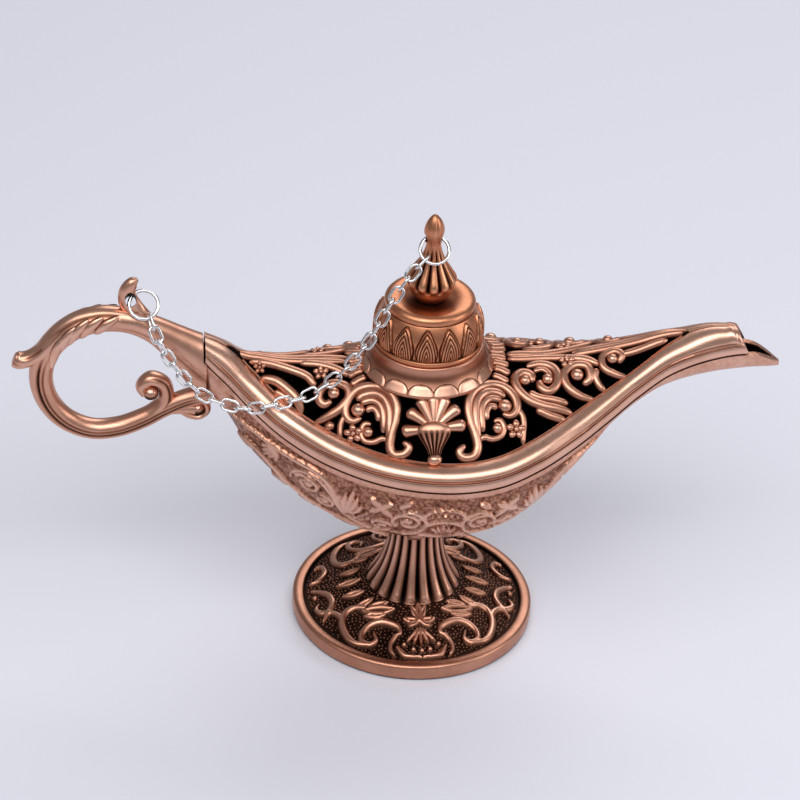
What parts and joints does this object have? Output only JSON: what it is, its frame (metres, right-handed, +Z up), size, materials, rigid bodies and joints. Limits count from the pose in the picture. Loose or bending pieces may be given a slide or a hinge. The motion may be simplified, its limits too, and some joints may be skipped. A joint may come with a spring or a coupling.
{
  "type": "genie oil lamp",
  "caption": "Boat-shaped genie oil lamp on a fluted pedestal foot, with a scrolled loop handle, a pierced scrollwork cover and a lift-off domed lid held by a fine chain.",
  "frame": {"origin": "centre of the foot, on the face it stands on", "axes": "+X toward the spout, -X toward the handle, +Z up, -Y toward the side over which the chain hangs"},
  "size_m": [0.2, 0.0652, 0.1248],
  "materials": {
    "antique_copper": "antique copper plating with darkened recesses and brushed high places",
    "steel": "plain zinc-plated",
    "bright_nickel": "bright nickel wire"
  },
  "bodies": {
    "lamp": {"pedestal_foot": "antique_copper", "foot_screw": "steel", "foot_washer": "steel", "bowl": "antique_copper", "handle": "antique_copper", "pierced_cover": "antique_copper"},
    "lid": {"lid_dome": "antique_copper", "finial": "antique_copper", "finial_nut": "steel"},
    "lid_ring": {"lid_ring": "bright_nickel"},
    "handle_ring": {"handle_ring": "bright_nickel"},
    "link_01": {"chain_link_01": "bright_nickel"},
    "link_02": {"chain_link_02": "bright_nickel"},
    "link_03": {"chain_link_03": "bright_nickel"},
    "link_04": {"chain_link_04": "bright_nickel"},
    "link_05": {"chain_link_05": "bright_nickel"},
    "link_06": {"chain_link_06": "bright_nickel"},
    "link_07": {"chain_link_07": "bright_nickel"},
    "link_08": {"chain_link_08": "bright_nickel"},
    "link_09": {"chain_link_09": "bright_nickel"},
    "link_10": {"chain_link_10": "bright_nickel"},
    "link_11": {"chain_link_11": "bright_nickel"},
    "link_12": {"chain_link_12": "bright_nickel"},
    "link_13": {"chain_link_13": "bright_nickel"},
    "link_14": {"chain_link_14": "bright_nickel"},
    "link_15": {"chain_link_15": "bright_nickel"},
    "link_16": {"chain_link_16": "bright_nickel"},
    "link_17": {"chain_link_17": "bright_nickel"},
    "link_18": {"chain_link_18": "bright_nickel"},
    "link_19": {"chain_link_19": "bright_nickel"},
    "link_20": {"chain_link_20": "bright_nickel"},
    "link_21": {"chain_link_21": "bright_nickel"},
    "link_22": {"chain_link_22": "bright_nickel"},
    "link_23": {"chain_link_23": "bright_nickel"},
    "link_24": {"chain_link_24": "bright_nickel"},
    "link_25": {"chain_link_25": "bright_nickel"},
    "link_26": {"chain_link_26": "bright_nickel"},
    "link_27": {"chain_link_27": "bright_nickel"},
    "link_28": {"chain_link_28": "bright_nickel"},
    "link_29": {"chain_link_29": "bright_nickel"}
  },
  "joints": [
    {"name": "lid_lift", "type": "slide", "parent": "lamp", "child": "lid", "axis": [0, 0, 1], "range_m": [0, 0.02]},
    {"name": "lid_ring_swing", "type": "hinge", "parent": "lid", "child": "lid_ring", "pos_m": [0, 0, 0.1179], "axis": [1, 0, 0], "range_deg": [-10, 30]},
    {"name": "handle_ring_swing", "type": "hinge", "parent": "lamp", "child": "handle_ring", "pos_m": [-0.0765, 0, 0.0998], "axis": [0, 1, 0], "range_deg": [-30, 30]},
    {"name": "link_01_turn", "type": "hinge", "parent": "lamp", "child": "link_01", "pos_m": [-0.07651, -0.00391, 0.0998], "axis": [0, 1, 0], "range_deg": [-19, 1]},
    {"name": "link_02_turn", "type": "hinge", "parent": "lamp", "child": "link_02", "pos_m": [-0.07614, -0.00592, 0.09955], "axis": [0, 1, 0], "range_deg": [-20, 1]},
    {"name": "link_03_turn", "type": "hinge", "parent": "lamp", "child": "link_03", "pos_m": [-0.07577, -0.0069, 0.09921], "axis": [0, 1, 0], "range_deg": [-21, 1]},
    {"name": "link_04_turn", "type": "hinge", "parent": "lamp", "child": "link_04", "pos_m": [-0.07551, -0.00737, 0.09893], "axis": [0, 1, 0], "range_deg": [-22, 1]},
    {"name": "link_05_turn", "type": "hinge", "parent": "lamp", "child": "link_05", "pos_m": [-0.07536, -0.00767, 0.09877], "axis": [0, 1, 0], "range_deg": [-22, 1]},
    {"name": "link_06_turn", "type": "hinge", "parent": "lamp", "child": "link_06", "pos_m": [-0.07532, -0.00788, 0.09872], "axis": [0, 1, 0], "range_deg": [-22, 1]},
    {"name": "link_07_turn", "type": "hinge", "parent": "lamp", "child": "link_07", "pos_m": [-0.07539, -0.00825, 0.09879], "axis": [0, 1, 0], "range_deg": [-22, 1]},
    {"name": "link_08_turn", "type": "hinge", "parent": "lamp", "child": "link_08", "pos_m": [-0.07559, -0.00892, 0.09899], "axis": [0, 1, 0], "range_deg": [-22, 1]},
    {"name": "link_09_turn", "type": "hinge", "parent": "lamp", "child": "link_09", "pos_m": [-0.07598, -0.00975, 0.09935], "axis": [0, 1, 0], "range_deg": [-21, 1]},
    {"name": "link_10_turn", "type": "hinge", "parent": "lamp", "child": "link_10", "pos_m": [-0.0766, -0.01077, 0.09985], "axis": [0, 1, 0], "range_deg": [-21, 1]},
    {"name": "link_11_turn", "type": "hinge", "parent": "lamp", "child": "link_11", "pos_m": [-0.0775, -0.01201, 0.1005], "axis": [0, 1, 0], "range_deg": [-20, 1]},
    {"name": "link_12_turn", "type": "hinge", "parent": "lamp", "child": "link_12", "pos_m": [-0.07874, -0.01315, 0.10128], "axis": [0, 1, 0], "range_deg": [-20, 1]},
    {"name": "link_13_turn", "type": "hinge", "parent": "lamp", "child": "link_13", "pos_m": [-0.0804, -0.01351, 0.10217], "axis": [0, 1, 0], "range_deg": [-19, 1]},
    {"name": "link_14_turn", "type": "hinge", "parent": "lamp", "child": "link_14", "pos_m": [-0.08255, -0.01297, 0.10318], "axis": [0, 1, 0], "range_deg": [-18, 1]},
    {"name": "link_15_turn", "type": "hinge", "parent": "lamp", "child": "link_15", "pos_m": [-0.08528, -0.01227, 0.10435], "axis": [0, 1, 0], "range_deg": [-17, 1]},
    {"name": "link_16_turn", "type": "hinge", "parent": "lamp", "child": "link_16", "pos_m": [-0.08871, -0.01159, 0.10565], "axis": [0, 1, 0], "range_deg": [-16, 1]},
    {"name": "link_17_turn", "type": "hinge", "parent": "lamp", "child": "link_17", "pos_m": [-0.09293, -0.01087, 0.10708], "axis": [0, 1, 0], "range_deg": [-15, 1]},
    {"name": "link_18_turn", "type": "hinge", "parent": "lamp", "child": "link_18", "pos_m": [-0.0981, -0.01046, 0.10859], "axis": [0, 1, 0], "range_deg": [-14, 1]},
    {"name": "link_19_turn", "type": "hinge", "parent": "lamp", "child": "link_19", "pos_m": [-0.10437, -0.01017, 0.11015], "axis": [0, 1, 0], "range_deg": [-13, 1]},
    {"name": "link_20_turn", "type": "hinge", "parent": "lamp", "child": "link_20", "pos_m": [-0.1119, -0.00983, 0.11173], "axis": [0, 1, 0], "range_deg": [-12, 1]},
    {"name": "link_21_turn", "type": "hinge", "parent": "lamp", "child": "link_21", "pos_m": [-0.12091, -0.00954, 0.11331], "axis": [0, 1, 0], "range_deg": [-11, 1]},
    {"name": "link_22_turn", "type": "hinge", "parent": "lamp", "child": "link_22", "pos_m": [-0.13168, -0.00927, 0.11484], "axis": [0, 1, 0], "range_deg": [-11, 1]},
    {"name": "link_23_turn", "type": "hinge", "parent": "lamp", "child": "link_23", "pos_m": [-0.14456, -0.00888, 0.11631], "axis": [0, 1, 0], "range_deg": [-10, 1]},
    {"name": "link_24_turn", "type": "hinge", "parent": "lamp", "child": "link_24", "pos_m": [-0.16008, -0.00831, 0.11767], "axis": [0, 1, 0], "range_deg": [-9, 1]},
    {"name": "link_25_turn", "type": "hinge", "parent": "lamp", "child": "link_25", "pos_m": [-0.17905, -0.00769, 0.11891], "axis": [0, 1, 0], "range_deg": [-8, 1]},
    {"name": "link_26_turn", "type": "hinge", "parent": "lamp", "child": "link_26", "pos_m": [-0.20291, -0.00706, 0.12001], "axis": [0, 1, 0], "range_deg": [-7, 1]},
    {"name": "link_27_turn", "type": "hinge", "parent": "lamp", "child": "link_27", "pos_m": [-0.23421, -0.00639, 0.12094], "axis": [0, 1, 0], "range_deg": [-6, 1]},
    {"name": "link_28_turn", "type": "hinge", "parent": "lamp", "child": "link_28", "pos_m": [-0.2778, -0.00559, 0.12168], "axis": [0, 1, 0], "range_deg": [-6, 1]},
    {"name": "link_29_turn", "type": "hinge", "parent": "lamp", "child": "link_29", "pos_m": [-0.34392, -0.00462, 0.12214], "axis": [0, 1, 0], "range_deg": [-5, 1]}
  ],
  "couplings": [
    {"joint": "lid_ring_swing", "follows": "lid_lift", "rad_per_m": 4.3633},
    {"joint": "handle_ring_swing", "follows": "lid_lift", "rad_per_m": -15.191},
    {"joint": "link_01_turn", "follows": "lid_lift", "rad_per_m": -15.15},
    {"joint": "link_02_turn", "follows": "lid_lift", "rad_per_m": -16.133},
    {"joint": "link_03_turn", "follows": "lid_lift", "rad_per_m": -16.987},
    {"joint": "link_04_turn", "follows": "lid_lift", "rad_per_m": -17.502},
    {"joint": "link_05_turn", "follows": "lid_lift", "rad_per_m": -17.743},
    {"joint": "link_06_turn", "follows": "lid_lift", "rad_per_m": -17.798},
    {"joint": "link_07_turn", "follows": "lid_lift", "rad_per_m": -17.724},
    {"joint": "link_08_turn", "follows": "lid_lift", "rad_per_m": -17.537},
    {"joint": "link_09_turn", "follows": "lid_lift", "rad_per_m": -17.239},
    {"joint": "link_10_turn", "follows": "lid_lift", "rad_per_m": -16.838},
    {"joint": "link_11_turn", "follows": "lid_lift", "rad_per_m": -16.351},
    {"joint": "link_12_turn", "follows": "lid_lift", "rad_per_m": -15.779},
    {"joint": "link_13_turn", "follows": "lid_lift", "rad_per_m": -15.13},
    {"joint": "link_14_turn", "follows": "lid_lift", "rad_per_m": -14.417},
    {"joint": "link_15_turn", "follows": "lid_lift", "rad_per_m": -13.658},
    {"joint": "link_16_turn", "follows": "lid_lift", "rad_per_m": -12.861},
    {"joint": "link_17_turn", "follows": "lid_lift", "rad_per_m": -12.037},
    {"joint": "link_18_turn", "follows": "lid_lift", "rad_per_m": -11.194},
    {"joint": "link_19_turn", "follows": "lid_lift", "rad_per_m": -10.346},
    {"joint": "link_20_turn", "follows": "lid_lift", "rad_per_m": -9.5022},
    {"joint": "link_21_turn", "follows": "lid_lift", "rad_per_m": -8.6735},
    {"joint": "link_22_turn", "follows": "lid_lift", "rad_per_m": -7.8675},
    {"joint": "link_23_turn", "follows": "lid_lift", "rad_per_m": -7.0898},
    {"joint": "link_24_turn", "follows": "lid_lift", "rad_per_m": -6.3429},
    {"joint": "link_25_turn", "follows": "lid_lift", "rad_per_m": -5.6249},
    {"joint": "link_26_turn", "follows": "lid_lift", "rad_per_m": -4.9295},
    {"joint": "link_27_turn", "follows": "lid_lift", "rad_per_m": -4.2468},
    {"joint": "link_28_turn", "follows": "lid_lift", "rad_per_m": -3.565},
    {"joint": "link_29_turn", "follows": "lid_lift", "rad_per_m": -2.8714}
  ]
}
